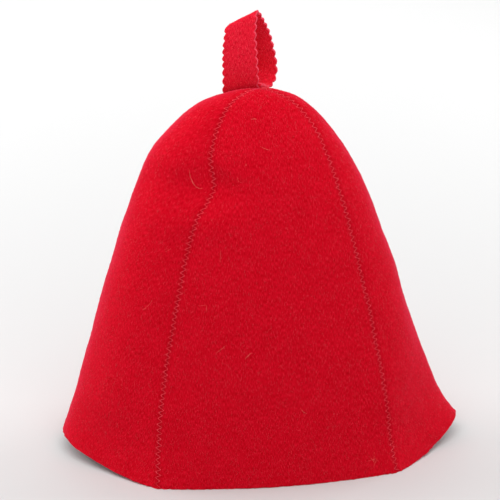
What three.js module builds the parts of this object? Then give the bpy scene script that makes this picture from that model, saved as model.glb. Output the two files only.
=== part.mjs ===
// A felt sauna hat: four gores sewn edge to edge into a bell, with a pinked felt loop on the crown.
// Millimetres, +Z up. The hem rests at z = 0, the front faces -Y and the sides are the hat's width, along X.
import * as THREE from 'three';
import { mergeVertices } from 'three/addons/utils/BufferGeometryUtils.js';

// Driving sizes of the bell
const HALF_WIDTH = 135;
const HALF_DEPTH = 76;
const BODY_HEIGHT = 247;
const FELT_THICKNESS = 2.5;
const SEAM_GAP = 0.3;
const LEFT_HEM_RAISE = 11;
const RIGHT_HEM_RAISE = 13;
const RAISE_REACH = 110;

// How fast the hem's raise dies away up the bell, and how narrow its arch is across each side gore
const RAISE_FALLOFF = 1.5;
const LEFT_ARCH_SHARPNESS = 0.9;
const RIGHT_ARCH_SHARPNESS = 1.8;

// Roundness of the storage folds down the middle of the side gores: 0 is a sharp crease, 1 a soft bow
const LEFT_FOLD_ROUNDNESS = 0.6;
const RIGHT_FOLD_ROUNDNESS = 0.22;

// Driving sizes of the hanging loop
const LOOP_WIDTH = 25;
const LOOP_THICKNESS = 2;
const LOOP_HEIGHT = 43;
const LOOP_REACH = 24;
const LOOP_LEFT_OF_APEX = 8.4;
const LOOP_BEHIND_APEX = 5.5;
const LOOP_HEADING = 22;
const LOOP_SEAT_GAP = 0.3;
const SCALLOP_PITCH = 5;
const SCALLOP_DEPTH = 1.1;

// Half the depth of the small hole that the gores' tips leave round the apex
const APEX_HOLE_DEPTH = 1.0;

// Fineness of the facets
const GORE_COLUMNS = 14;
const GORE_ROWS = 30;
const LOOP_STRIP_COLUMNS = 4;
const FACETS_PER_SCALLOP = 4;

// The bell from hem to apex. rise is a share of BODY_HEIGHT. span, lean and the seams are shares of
// HALF_WIDTH, of it or of the level's own span; depth and the corners are shares of HALF_DEPTH in the
// same way. A fold of 1 bows a side gore as a folded sheet, a fold of 0 as a round arc.
const LEVEL_COLUMNS = ['rise', 'span', 'lean', 'depth', 'seamLeft', 'seamRight',
  'cornerLeft', 'cornerRight', 'foldLeft', 'foldRight'];
const LEVELS = [
  [0.000, 1.000, 0.000, 1.00, 0.55, 0.625, 0.90, 0.78, 0.95, 0.95],
  [0.090, 0.930, -0.020, 0.95, 0.56, 0.660, 0.88, 0.76, 0.80, 0.80],
  [0.200, 0.865, -0.030, 0.90, 0.57, 0.690, 0.86, 0.75, 0.50, 0.60],
  [0.330, 0.795, -0.038, 0.84, 0.565, 0.710, 0.84, 0.72, 0.25, 0.40],
  [0.470, 0.722, -0.045, 0.77, 0.545, 0.725, 0.84, 0.69, 0.10, 0.20],
  [0.610, 0.640, -0.050, 0.685, 0.520, 0.735, 0.85, 0.68, 0.00, 0.10],
  [0.740, 0.552, -0.056, 0.59, 0.464, 0.750, 0.88, 0.66, 0.00, 0.00],
  [0.850, 0.450, -0.062, 0.47, 0.455, 0.790, 0.87, 0.61, 0.00, 0.00],
  [0.935, 0.310, -0.047, 0.32, 0.525, 0.830, 0.84, 0.54, 0.00, 0.00],
  [0.980, 0.172, -0.035, 0.18, 0.600, 0.870, 0.80, 0.48, 0.00, 0.00],
  [1.000, 0.000, -0.025, 0.00, 0.650, 0.900, 0.76, 0.42, 0.00, 0.00],
];

// Dents and swells of the front. aside and its reach are shares of HALF_WIDTH, and height and its reach
// are shares of BODY_HEIGHT. In millimetres, depth goes in where it is above zero, and shove to the right.
const DENTS = [
  { aside: -0.33, height: 0.765, asideReach: 0.160, heightReach: 0.038, depth: 5.0, shove: 1.2 },
  { aside: -0.34, height: 0.700, asideReach: 0.110, heightReach: 0.030, depth: -2.5, shove: 0.0 },
  { aside: 0.63, height: 0.320, asideReach: 0.080, heightReach: 0.160, depth: -2.0, shove: 0.0 },
];

// How far in front of the bell's middle the dents have their full depth
const DENT_FADE = 20;

// The loop's strip from its front foot, over the fold and down to its back foot. behind is a share of
// LOOP_REACH, aside of LOOP_WIDTH, up of LOOP_HEIGHT above the seat. tilt raises the strip's right edge
// and turn swings its left edge back, in degrees.
const LOOP_COLUMNS = ['behind', 'aside', 'up', 'tilt', 'turn'];
const LOOP_ROWS = [
  [0.00, 0.00, 0.00, 8, 0],
  [-0.03, -0.02, 0.22, 14, 0],
  [-0.07, -0.04, 0.46, 20, 0],
  [-0.11, -0.05, 0.70, 26, 0],
  [-0.13, -0.04, 0.90, 30, 0],
  [-0.08, -0.03, 1.00, 31, 0],
  [0.06, 0.00, 0.96, 31, 0],
  [0.32, 0.06, 0.84, 28, 2],
  [0.62, 0.12, 0.66, 22, 5],
  [0.85, 0.17, 0.44, 15, 8],
  [0.96, 0.20, 0.22, 8, 6],
  [0.92, 0.19, 0.08, 3, 3],
  [0.66, 0.13, 0.035, 0, 0],
  [0.32, 0.05, 0.02, 0, 0],
  [0.00, 0.00, 0.02, 0, 0],
];

const FELT_COLOUR = '#c9122f';
const LOOP_COLOUR = '#d61a38';

const RADIANS = Math.PI / 180;
const NORMAL_STEP = 0.004;
const LAST_SHARE_WITH_A_SLOPE = 0.999;
const HALVINGS = 24;
const STEPS_PER_LOOP_ROW = 40;

// The part of the loop that is kept clear above the crown: past this share of the strip, and lower than
// this share of the loop's height.
const RESTING_PART_STARTS = 0.5;
const RESTING_PART_HEIGHT = 0.25;

// A value read from a table's column at a share of its length, on a smooth curve through all its rows.
// Past the last row the curve mirrors the row before it with a sign, or runs straight on for a sign of 0.
function readTable(table, column, share, mirrorSign) {
  const place = share * (table.length - 1);
  const row = Math.min(Math.floor(place), table.length - 2);
  const step = place - row;
  const value = (index) => {
    const last = table.length - 1;
    if (index < 0) return 2 * table[0][column] - table[1][column];
    if (index <= last) return table[index][column];
    if (mirrorSign === 0) return 2 * table[last][column] - table[last - 1][column];
    return mirrorSign * table[last - 1][column];
  };
  const [a, b, c, d] = [value(row - 1), value(row), value(row + 1), value(row + 2)];
  const bend = (2 * a - 5 * b + 4 * c - d) * step ** 2 + (3 * b - a - 3 * c + d) * step ** 3;
  return 0.5 * (2 * b + (c - a) * step + bend);
}

// The named sizes of the bell at one level, in millimetres.
function levelAt(share) {
  const read = (name, sign = 1) => readTable(LEVELS, LEVEL_COLUMNS.indexOf(name), share, sign);
  const span = read('span', -1) * HALF_WIDTH;
  const depth = read('depth', -1) * HALF_DEPTH;
  const middle = read('lean') * HALF_WIDTH;
  return {
    height: read('rise') * BODY_HEIGHT,
    depth,
    middleX: middle,
    leftX: middle - span,
    rightX: middle + span,
    seamLeftX: middle - read('seamLeft') * span,
    seamRightX: middle + read('seamRight') * span,
    cornerLeftY: read('cornerLeft') * depth,
    cornerRightY: read('cornerRight') * depth,
    foldLeft: read('foldLeft'),
    foldRight: read('foldRight'),
  };
}

// The four gores, each from its first seam to its second, counterclockwise seen from above, with the
// point that the gore's middle reaches.
const GORES = [
  {
    name: 'gore_front',
    ends: (level) => [[level.seamLeftX, -level.cornerLeftY], [level.seamRightX, -level.cornerRightY]],
    middle: (level) => [(level.seamLeftX + level.seamRightX) / 2, -level.depth],
    fold: () => 0,
    roundness: 1,
    raise: 0,
    archSharpness: 1,
  },
  {
    name: 'gore_right',
    ends: (level) => [[level.seamRightX, -level.cornerRightY], [level.seamRightX, level.cornerRightY]],
    middle: (level) => [level.rightX, 0],
    fold: (level) => level.foldRight,
    roundness: RIGHT_FOLD_ROUNDNESS,
    raise: RIGHT_HEM_RAISE,
    archSharpness: RIGHT_ARCH_SHARPNESS,
  },
  {
    name: 'gore_back',
    ends: (level) => [[level.seamRightX, level.cornerRightY], [level.seamLeftX, level.cornerLeftY]],
    middle: (level) => [(level.seamLeftX + level.seamRightX) / 2, level.depth],
    fold: () => 0,
    roundness: 1,
    raise: 0,
    archSharpness: 1,
  },
  {
    name: 'gore_left',
    ends: (level) => [[level.seamLeftX, level.cornerLeftY], [level.seamLeftX, -level.cornerLeftY]],
    middle: (level) => [level.leftX, 0],
    fold: (level) => level.foldLeft,
    roundness: LEFT_FOLD_ROUNDNESS,
    raise: LEFT_HEM_RAISE,
    archSharpness: LEFT_ARCH_SHARPNESS,
  },
];

// How far a bowed panel stands off its chord, and how far along it lies, for a place from -1 to 1.
function roundBow(place, halfAngle) {
  const angle = place * halfAngle;
  return {
    along: Math.sin(angle) / Math.sin(halfAngle),
    out: (Math.cos(angle) - Math.cos(halfAngle)) / (1 - Math.cos(halfAngle)),
  };
}

function foldedBow(place, roundness) {
  const reach = Math.hypot(1, roundness) - roundness;
  return { along: place, out: 1 - (Math.hypot(place, roundness) - roundness) / reach };
}

// How far the dents push a point of the front in towards the axis, and how far they shove it to the right.
function dentAt(x, y, z) {
  const facing = Math.min(1, Math.max(0, -y / DENT_FADE));
  let depth = 0;
  let shove = 0;
  for (const dent of DENTS) {
    const across = (x / HALF_WIDTH - dent.aside) / dent.asideReach;
    const upward = (z / BODY_HEIGHT - dent.height) / dent.heightReach;
    const share = facing ** 2 * (3 - 2 * facing) * Math.exp(-(across ** 2 + upward ** 2) / 2);
    depth += dent.depth * share;
    shove += dent.shove * share;
  }
  return { depth, shove };
}

// A point of the bell's outer face: a gore, its share across (0 to 1) and a level.
function bellPoint(gore, across, level) {
  const [start, end] = gore.ends(level);
  const middle = gore.middle(level);
  const chord = [(end[0] - start[0]) / 2, (end[1] - start[1]) / 2];
  const centre = [(start[0] + end[0]) / 2, (start[1] + end[1]) / 2];
  const stand = [middle[0] - centre[0], middle[1] - centre[1]];
  const place = 2 * across - 1;
  const halfAngle = 2 * Math.atan(Math.hypot(...stand) / Math.hypot(...chord));
  const round = roundBow(place, halfAngle);
  const folded = foldedBow(place, gore.roundness);
  const fold = gore.fold(level);
  const along = round.along * (1 - fold) + folded.along * fold;
  const out = round.out * (1 - fold) + folded.out * fold;
  const x = centre[0] + chord[0] * along + stand[0] * out;
  const y = centre[1] + chord[1] * along + stand[1] * out;
  const fade = Math.max(0, 1 - level.height / RAISE_REACH) ** RAISE_FALLOFF;
  const arch = ((1 + Math.cos(Math.PI * place)) / 2) ** gore.archSharpness;
  const z = level.height + gore.raise * fade * arch;
  const dent = dentAt(x, y, z);
  const inward = dent.depth / Math.hypot(x, y, 1);
  return new THREE.Vector3(x * (1 - inward) + dent.shove, y * (1 - inward), z);
}

// The outward normal of one gore at a point, taken from its own sheet on both sides of an edge.
function goreNormal(gore, across, up) {
  const level = levelAt(up);
  const left = bellPoint(gore, Math.max(0, across - NORMAL_STEP), level);
  const right = bellPoint(gore, Math.min(1, across + NORMAL_STEP), level);
  const low = bellPoint(gore, across, levelAt(Math.max(0, up - NORMAL_STEP)));
  const high = bellPoint(gore, across, levelAt(Math.min(LAST_SHARE_WITH_A_SLOPE, up + NORMAL_STEP)));
  return right.sub(left).cross(high.sub(low)).normalize();
}

// The way from the outer face to the inner one. On a seam both gores use the same mitred way.
function wallWay(index, across, up) {
  const own = goreNormal(GORES[index], across, up);
  if (across > 0 && across < 1) return own.multiplyScalar(-FELT_THICKNESS);
  const nextIndex = (index + (across === 0 ? GORES.length - 1 : 1)) % GORES.length;
  const next = goreNormal(GORES[nextIndex], 1 - across, up);
  const mitre = own.clone().add(next).normalize();
  return mitre.multiplyScalar(-FELT_THICKNESS / mitre.dot(own));
}

// The highest share up at which the gores still leave the small hole round the apex.
function topShare() {
  let low = 0.5;
  let high = 1;
  for (let step = 0; step < HALVINGS; step += 1) {
    const share = (low + high) / 2;
    const level = levelAt(share);
    if (level.depth > APEX_HOLE_DEPTH) low = share;
    else high = share;
  }
  return low;
}

// A closed sheet from two grids of points, the outer face and the inner one.
function sheetGeometry(outer, inner) {
  const rows = outer.length;
  const columns = outer[0].length;
  const positions = [];
  const corner = (row, column, face) => (row * columns + column) * 2 + face;
  for (let row = 0; row < rows; row += 1) {
    for (let column = 0; column < columns; column += 1) {
      positions.push(...outer[row][column].toArray(), ...inner[row][column].toArray());
    }
  }
  const triangles = [];
  const quad = (a, b, c, d) => triangles.push(a, b, c, a, c, d);
  for (let row = 0; row + 1 < rows; row += 1) {
    for (let column = 0; column + 1 < columns; column += 1) {
      quad(corner(row, column, 0), corner(row, column + 1, 0),
        corner(row + 1, column + 1, 0), corner(row + 1, column, 0));
      quad(corner(row, column, 1), corner(row + 1, column, 1),
        corner(row + 1, column + 1, 1), corner(row, column + 1, 1));
    }
    quad(corner(row, 0, 0), corner(row + 1, 0, 0), corner(row + 1, 0, 1), corner(row, 0, 1));
    quad(corner(row, columns - 1, 0), corner(row, columns - 1, 1),
      corner(row + 1, columns - 1, 1), corner(row + 1, columns - 1, 0));
  }
  for (let column = 0; column + 1 < columns; column += 1) {
    quad(corner(0, column, 0), corner(0, column, 1), corner(0, column + 1, 1), corner(0, column + 1, 0));
    quad(corner(rows - 1, column, 0), corner(rows - 1, column + 1, 0),
      corner(rows - 1, column + 1, 1), corner(rows - 1, column, 1));
  }
  const geometry = new THREE.BufferGeometry();
  geometry.setAttribute('position', new THREE.Float32BufferAttribute(positions, 3));
  geometry.setIndex(triangles);
  const joined = mergeVertices(geometry);
  joined.computeVertexNormals();
  return joined;
}

// One gore: a felt panel whose side edges stop half a gap short of the seams and whose hem is cut level.
function goreGeometry(index) {
  const gore = GORES[index];
  const top = topShare();
  const outer = [];
  const inner = [];
  for (let row = 0; row <= GORE_ROWS; row += 1) {
    const up = (top * row) / GORE_ROWS;
    const level = levelAt(up);
    const wide = bellPoint(gore, 0, level).distanceTo(bellPoint(gore, 1, level));
    const edge = SEAM_GAP / 2 / wide;
    const outerRow = [];
    const innerRow = [];
    for (let column = 0; column <= GORE_COLUMNS; column += 1) {
      const share = column / GORE_COLUMNS;
      const point = bellPoint(gore, edge + share * (1 - 2 * edge), level);
      const wall = point.clone().add(wallWay(index, share, up));
      if (row === 0) wall.z = point.z;
      outerRow.push(point);
      innerRow.push(wall);
    }
    outer.push(outerRow);
    inner.push(innerRow);
  }
  return sheetGeometry(outer, inner);
}

// The outline of the bell at one level, as points round it.
function ringAt(share) {
  const level = levelAt(share);
  const ring = [];
  for (const gore of GORES) {
    for (let column = 0; column < GORE_COLUMNS; column += 1) {
      ring.push(bellPoint(gore, column / GORE_COLUMNS, level));
    }
  }
  return ring;
}

// Whether a point seen from above lies inside a ring.
function isInside(ring, x, y) {
  let inside = false;
  for (let index = 0; index < ring.length; index += 1) {
    const a = ring[index];
    const b = ring[(index + 1) % ring.length];
    if ((a.y > y) !== (b.y > y) && x < ((b.x - a.x) * (y - a.y)) / (b.y - a.y) + a.x) inside = !inside;
  }
  return inside;
}

// The height of the crown's outer face over a point seen from above.
function crownHeight(x, y) {
  let low = 0;
  let high = 1;
  for (let step = 0; step < HALVINGS; step += 1) {
    const share = (low + high) / 2;
    if (isInside(ringAt(share), x, y)) low = share;
    else high = share;
  }
  return levelAt(low).height;
}

// The loop's own directions seen from above: straight back from its front leg, and its seat on the crown.
const LOOP_BACK = new THREE.Vector2(Math.sin(LOOP_HEADING * RADIANS), Math.cos(LOOP_HEADING * RADIANS));
const LOOP_SEAT = new THREE.Vector3(levelAt(1).middleX - LOOP_LEFT_OF_APEX, LOOP_BEHIND_APEX, BODY_HEIGHT);
const BACK_FOOT = LOOP_THICKNESS / 2 + 2 * LOOP_SEAT_GAP;

// A point of the loop's middle sheet: a share along the strip, and a distance right of its middle line.
function loopPoint(along, reach) {
  const read = (name) => readTable(LOOP_ROWS, LOOP_COLUMNS.indexOf(name), along, 0);
  const heading = (LOOP_HEADING + read('turn')) * RADIANS;
  const tilt = read('tilt') * RADIANS;
  const behind = read('behind') * (LOOP_REACH - BACK_FOOT) + along * BACK_FOOT;
  const aside = read('aside') * LOOP_WIDTH;
  const level = reach * Math.cos(tilt);
  return new THREE.Vector3(
    LOOP_SEAT.x + behind * LOOP_BACK.x + aside * LOOP_BACK.y + level * Math.cos(heading),
    LOOP_SEAT.y + behind * LOOP_BACK.y - aside * LOOP_BACK.x - level * Math.sin(heading),
    LOOP_SEAT.z + read('up') * LOOP_HEIGHT + reach * Math.sin(tilt),
  );
}

// The shares along the strip that cut its middle line into equal steps, whole scallops long.
function loopShares() {
  const fine = STEPS_PER_LOOP_ROW * LOOP_ROWS.length;
  const lengths = [0];
  for (let index = 1; index <= fine; index += 1) {
    const step = loopPoint((index - 1) / fine, 0).distanceTo(loopPoint(index / fine, 0));
    lengths.push(lengths[index - 1] + step);
  }
  const scallops = Math.round(lengths[fine] / SCALLOP_PITCH);
  const count = scallops * FACETS_PER_SCALLOP;
  const shares = [];
  let index = 0;
  for (let row = 0; row <= count; row += 1) {
    const target = (lengths[fine] * row) / count;
    while (index < fine - 1 && lengths[index + 1] < target) index += 1;
    const part = (target - lengths[index]) / (lengths[index + 1] - lengths[index]);
    shares.push((index + Math.min(1, part)) / fine);
  }
  return shares;
}

// The loop's middle sheet as a grid, with pinked edges, kept clear above the crown behind the front foot.
function loopSheet() {
  const shares = loopShares();
  const clear = LOOP_SEAT_GAP + LOOP_THICKNESS / 2;
  return shares.map((along, row) => {
    const lobe = Math.abs(Math.sin((Math.PI * row) / FACETS_PER_SCALLOP));
    const halfWidth = LOOP_WIDTH / 2 - SCALLOP_DEPTH * (1 - lobe);
    const points = [];
    for (let column = 0; column <= LOOP_STRIP_COLUMNS; column += 1) {
      const point = loopPoint(along, halfWidth * ((2 * column) / LOOP_STRIP_COLUMNS - 1));
      if (along > RESTING_PART_STARTS && point.z < LOOP_SEAT.z + RESTING_PART_HEIGHT * LOOP_HEIGHT) {
        point.z = Math.max(point.z, crownHeight(point.x, point.y) + clear);
      }
      points.push(point);
    }
    return points;
  });
}

// The hanging loop: a pinked felt strip whose front foot stands on the crown and whose back foot lies on it.
function loopGeometry() {
  const sheet = loopSheet();
  const last = sheet.length - 1;
  const outer = [];
  const inner = [];
  sheet.forEach((points, row) => {
    const outerRow = [];
    const innerRow = [];
    points.forEach((point, column) => {
      const along = sheet[Math.min(last, row + 1)][column].clone().sub(sheet[Math.max(0, row - 1)][column]);
      const across = points[LOOP_STRIP_COLUMNS].clone().sub(points[0]);
      const way = across.cross(along).normalize().multiplyScalar(LOOP_THICKNESS / 2);
      const faces = [point.clone().add(way), point.clone().sub(way)];
      if (row === 0) faces.forEach((face) => { face.z = crownHeight(face.x, face.y) + LOOP_SEAT_GAP; });
      outerRow.push(faces[0]);
      innerRow.push(faces[1]);
    });
    outer.push(outerRow);
    inner.push(innerRow);
  });
  return sheetGeometry(outer, inner);
}

const hat = new THREE.Group();
GORES.forEach((gore, index) => {
  const felt = new THREE.MeshStandardMaterial({ color: FELT_COLOUR, roughness: 0.95, metalness: 0 });
  const panel = new THREE.Mesh(goreGeometry(index), felt);
  panel.name = gore.name;
  hat.add(panel);
});
const loopFelt = new THREE.MeshStandardMaterial({ color: LOOP_COLOUR, roughness: 0.95, metalness: 0 });
const loop = new THREE.Mesh(loopGeometry(), loopFelt);
loop.name = 'hanging_loop';
hat.add(loop);

export default hat;
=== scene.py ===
"""A red felt sauna hat: four gores sewn edge to edge with a zigzag seam, and a pinked felt loop.

Metres, +Z up. The hem rests on the floor at z = 0, the front faces -Y and the sides lie along X.
"""
import logging
import math
from dataclasses import dataclass, field
from enum import Enum

import bpy
import numpy as np
from bpy.types import Material, Node, NodeTree, Object
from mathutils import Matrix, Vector
from mathutils.bvhtree import BVHTree


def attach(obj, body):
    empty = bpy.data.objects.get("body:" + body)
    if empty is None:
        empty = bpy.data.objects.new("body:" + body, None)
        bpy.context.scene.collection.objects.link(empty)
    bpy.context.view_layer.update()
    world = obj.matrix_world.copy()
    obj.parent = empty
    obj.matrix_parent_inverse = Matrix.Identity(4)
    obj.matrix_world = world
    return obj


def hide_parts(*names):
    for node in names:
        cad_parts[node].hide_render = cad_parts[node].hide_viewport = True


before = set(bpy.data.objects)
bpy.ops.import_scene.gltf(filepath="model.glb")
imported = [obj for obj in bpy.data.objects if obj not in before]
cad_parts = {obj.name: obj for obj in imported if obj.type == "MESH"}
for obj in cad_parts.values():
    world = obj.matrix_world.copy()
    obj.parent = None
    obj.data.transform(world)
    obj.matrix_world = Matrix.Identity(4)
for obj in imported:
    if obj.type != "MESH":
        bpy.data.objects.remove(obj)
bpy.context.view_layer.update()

LOG = logging.getLogger("sauna_hat")
Array = np.ndarray
MM = 0.001
# Each group of random draws counts its seeds on from its own first one.
RELIEF_SEED, HEM_SEED, LOOP_SEED = 20, 23, 25
STITCH_SEED, FUZZ_SEED, LOOP_FUZZ_SEED = 30, 50, 60
# The gores' last level, just short of the apex, and the last level that a direction is taken from.
GORE_TOP = 0.9985
DIRECTION_TOP = 0.9995

# The bell from hem to apex, as in the part's source but for the hem's corners. rise is a share of
# the body's height, span and lean of half the width, and depth of half the depth. The seams are
# shares of the level's own span and the corners of its own depth. A fold runs from 0, where a side
# gore is round, to 1, where it bows as a folded sheet does.
LEVEL_COLUMNS = (
    "rise", "span", "lean", "depth", "seam_left", "seam_right",
    "corner_left", "corner_right", "fold_left", "fold_right",
)
LEVELS = np.array([
    [0.000, 1.000, 0.000, 1.00, 0.55, 0.625, 0.95, 0.83, 0.95, 0.95],
    [0.090, 0.930, -0.020, 0.95, 0.56, 0.660, 0.88, 0.76, 0.80, 0.80],
    [0.200, 0.865, -0.030, 0.90, 0.57, 0.690, 0.86, 0.75, 0.50, 0.60],
    [0.330, 0.795, -0.038, 0.84, 0.565, 0.710, 0.84, 0.72, 0.25, 0.40],
    [0.470, 0.722, -0.045, 0.77, 0.545, 0.725, 0.84, 0.69, 0.10, 0.20],
    [0.610, 0.640, -0.050, 0.685, 0.520, 0.735, 0.85, 0.68, 0.00, 0.10],
    [0.740, 0.552, -0.056, 0.59, 0.464, 0.750, 0.88, 0.66, 0.00, 0.00],
    [0.850, 0.450, -0.062, 0.47, 0.455, 0.790, 0.87, 0.61, 0.00, 0.00],
    [0.935, 0.310, -0.047, 0.32, 0.525, 0.830, 0.84, 0.54, 0.00, 0.00],
    [0.980, 0.172, -0.035, 0.18, 0.600, 0.870, 0.80, 0.48, 0.00, 0.00],
    [1.000, 0.000, -0.025, 0.00, 0.650, 0.900, 0.76, 0.42, 0.00, 0.00],
])
MIRRORED_PAST_THE_APEX = ("span", "depth")

# Dents and swells of the front: aside in shares of half the width, height in shares of the body's
# height, the reach of each in the same shares, and in millimetres the depth, which goes in above
# zero, and the shove to the right.
DENTS = (
    (-0.33, 0.765, 0.165, 0.038, 7.0, 1.2),
    (-0.28, 0.800, 0.060, 0.028, 1.6, 0.0),
    (-0.34, 0.700, 0.120, 0.030, -1.8, 0.0),
    (0.63, 0.320, 0.080, 0.160, -2.0, 0.0),
)

# Layers of swells, lumps and nap in the felt: each one's wavelength and height in millimetres, and
# how many waves it is summed from.
BELL_RELIEF = ((46, 0.30, 14), (13, 0.09, 20), (5, 0.045, 24))
LOOP_RELIEF = ((4, 0.05, 24), (12, 0.12, 12))

# One stroke of thread across a seam: shares of its length, and heights off the felt in millimetres.
STROKE = np.array([
    (0.0, -0.35), (0.05, 0.10), (0.25, 0.20), (0.5, 0.22), (0.75, 0.20), (0.95, 0.10), (1.0, -0.35),
])

# The loop's strip from its front foot over the fold to its back foot: behind and aside in shares of
# its reach and width, up in shares of its height, tilt and turn in degrees. It follows the part's
# source, with its top, its back leg and its foot shaped more closely.
LOOP_ROWS = np.array([
    [0.02, -0.05, 0.00, 8, 0],
    [-0.09, -0.03, 0.22, 14, 0],
    [-0.13, -0.04, 0.46, 20, 0],
    [-0.12, -0.05, 0.69, 26, 0],
    [-0.07, -0.03, 0.91, 28, 0],
    [0.00, -0.02, 1.005, 28.5, 0],
    [0.12, 0.01, 0.965, 29, 0],
    [0.34, 0.06, 0.84, 28, 2],
    [0.62, 0.12, 0.66, 22, 5],
    [0.83, 0.17, 0.43, 14, 8],
    [0.94, 0.20, 0.22, 3, 6],
    [0.90, 0.19, 0.08, -6, 3],
    [0.64, 0.13, -0.01, -12, 0],
    [0.32, 0.05, -0.02, -6, 0],
    [0.00, 0.00, 0.02, 0, 0],
])


class Gore(Enum):
    """The four felt gores, counterclockwise seen from above."""

    FRONT = 0
    RIGHT = 1
    BACK = 2
    LEFT = 3

    def past(self, seams: int) -> "Gore":
        """The gore that lies a number of seams further round."""
        return Gore((self.value + seams) % len(Gore))


class Face(Enum):
    """The two faces of a sewn seam."""

    OUTSIDE = 1
    INSIDE = -1


# Each gore's node, its flat size in metres, its area in square metres and where its second seam is.
GORES = {
    Gore.FRONT: ("gore_front", (0.163, 0.270), 0.0304, "front_right"),
    Gore.RIGHT: ("gore_right", (0.162, 0.285), 0.0245, "back_right"),
    Gore.BACK: ("gore_back", (0.162, 0.270), 0.0304, "back_left"),
    Gore.LEFT: ("gore_left", (0.191, 0.289), 0.0346, "front_left"),
}

# Hairs that lie loose on the felt: the gore that each lies on, where it starts in shares across the
# gore and up it, its length in millimetres, its heading in degrees clockwise from straight up, how
# many degrees it curls through and its stoutness.
STRAY_HAIRS = (
    (Gore.LEFT, 0.873, 0.671, 16.0, 175, -105, 1.0),
    (Gore.FRONT, 0.227, 0.323, 8.0, 48, 10, 0.7),
    (Gore.FRONT, 0.362, 0.312, 5.8, 44, 6, 1.3),
    (Gore.LEFT, 0.850, 0.391, 9.5, 46, -48, 0.6),
    (Gore.FRONT, 0.346, 0.812, 3.8, 90, 10, 1.3),
    (Gore.FRONT, 0.427, 0.732, 7.0, 122, -32, 0.8),
    (Gore.FRONT, 0.608, 0.206, 6.0, 150, -64, 0.8),
    (Gore.FRONT, 0.192, 0.513, 8.6, 168, 20, 0.4),
    (Gore.FRONT, 0.304, 0.690, 1.2, 175, 0, 1.0),
    (Gore.FRONT, 0.231, 0.658, 4.2, 176, -95, 0.5),
    (Gore.FRONT, 0.108, 0.408, 6.0, 74, 24, 0.4),
    (Gore.FRONT, 0.154, 0.411, 5.0, 165, 25, 0.4),
    (Gore.LEFT, 0.896, 0.503, 4.5, 38, 20, 0.4),
    (Gore.FRONT, 0.880, 0.048, 6.5, 80, 20, 0.5),
    (Gore.FRONT, 0.890, 0.062, 6.0, 150, 20, 0.5),
    (Gore.FRONT, 0.915, 0.070, 6.5, 200, -25, 0.5),
    (Gore.FRONT, 0.900, 0.030, 5.0, 30, 40, 0.4),
    (Gore.FRONT, 0.930, 0.045, 6.0, 280, 30, 0.4),
)


def linear(hex_colour: str) -> tuple[float, float, float, float]:
    """Turns an sRGB hex colour, "#rrggbb", to linear red, green and blue, and an alpha of 1."""
    shares = [int(hex_colour[at:at + 2], 16) / 255 for at in (1, 3, 5)]
    return *(s / 12.92 if s <= 0.04045 else ((s + 0.055) / 1.055) ** 2.4 for s in shares), 1.0


def empty_material(name: str) -> Material:
    """Makes a material whose node tree is empty.

    Args:
        name: the material's name.

    Returns:
        The material.
    """
    material = bpy.data.materials.new(name)
    material.use_nodes = True
    material.node_tree.nodes.clear()
    return material


def add_node(tree: NodeTree, kind: str, settings: dict | None = None,
             links: dict | None = None) -> Node:
    """Adds a node with its settings and links.

    Args:
        tree: the material's node tree.
        kind: the node's type name.
        settings: values by the name of an attribute, or else by the name or number of an input.
        links: output sockets by the name or number of the input that they feed.

    Returns:
        The new node.
    """
    node = tree.nodes.new(kind)
    for name, value in (settings or {}).items():
        if isinstance(name, str) and hasattr(node, name):
            setattr(node, name, value)
        else:
            node.inputs[name].default_value = value
    for name, socket in (links or {}).items():
        tree.links.new(socket, node.inputs[name])
    return node


def curve_through(rows: Array, share: Array, past_end: float) -> Array:
    """Reads values from a column of a table on a smooth curve through all its rows.

    Args:
        rows: the column's values.
        share: places along the table, from 0 to 1.
        past_end: the value that stands past the last row.

    Returns:
        The values at those places.
    """
    padded = np.concatenate([[2 * rows[0] - rows[1]], rows, [past_end]])
    place = np.asarray(share, float) * (len(rows) - 1)
    row = np.minimum(np.floor(place).astype(int), len(rows) - 2)
    step = place - row
    a, b, c, d = (padded[row + shift] for shift in range(4))
    bend = (2 * a - 5 * b + 4 * c - d) * step ** 2 + (3 * b - a - 3 * c + d) * step ** 3
    return 0.5 * (2 * b + (c - a) * step + bend)


def unit(vectors: Array) -> Array:
    """Scales vectors in the last axis to a length of 1."""
    return vectors / np.maximum(np.linalg.norm(vectors, axis=-1, keepdims=True), 1e-12)


def distances_along(line: Array) -> Array:
    """The distance along a line from its first point to each of its points."""
    return np.concatenate([[0], np.cumsum(np.linalg.norm(np.diff(line, axis=0), axis=1))])


def grids(across: Array, share: Array) -> tuple[Array, Array]:
    """Brings places across a gore and levels up it to one shape."""
    across, share = np.broadcast_arrays(np.asarray(across, float), np.asarray(share, float))
    return across, share


def crowded_places(count: int, crowding: float) -> Array:
    """Places from 0 to 1, evenly apart for a crowding of 0 and crowded to both ends towards 1."""
    even = np.linspace(0, 1, count)
    return even - crowding * np.sin(2 * math.pi * even) / (2 * math.pi)


def rounded_edge(distance: Array, radius: float) -> Array:
    """How far a face drops at a distance from its rounded edge, by all its radius at the edge."""
    share = 1 - np.clip(distance / radius, 0, 1)
    return radius * (1 - np.sqrt(np.maximum(0, 1 - share ** 2)))


def smooth_waves(points: Array, wavelength: float, count: int, seed: int) -> Array:
    """A soft random relief with a typical wavelength.

    Args:
        points: places in space.
        wavelength: the typical distance between swells.
        count: how many waves are summed.
        seed: the seed of their directions.

    Returns:
        A height for each place, mostly from -1 to 1.
    """
    rng = np.random.default_rng(seed)
    ways = unit(rng.normal(size=(count, 3))) * (2 * math.pi / wavelength)
    ways *= rng.uniform(0.7, 1.5, (count, 1))
    phases = rng.uniform(0, 2 * math.pi, count)
    return np.sin(points @ ways.T + phases).sum(-1) / math.sqrt(count)


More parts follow.
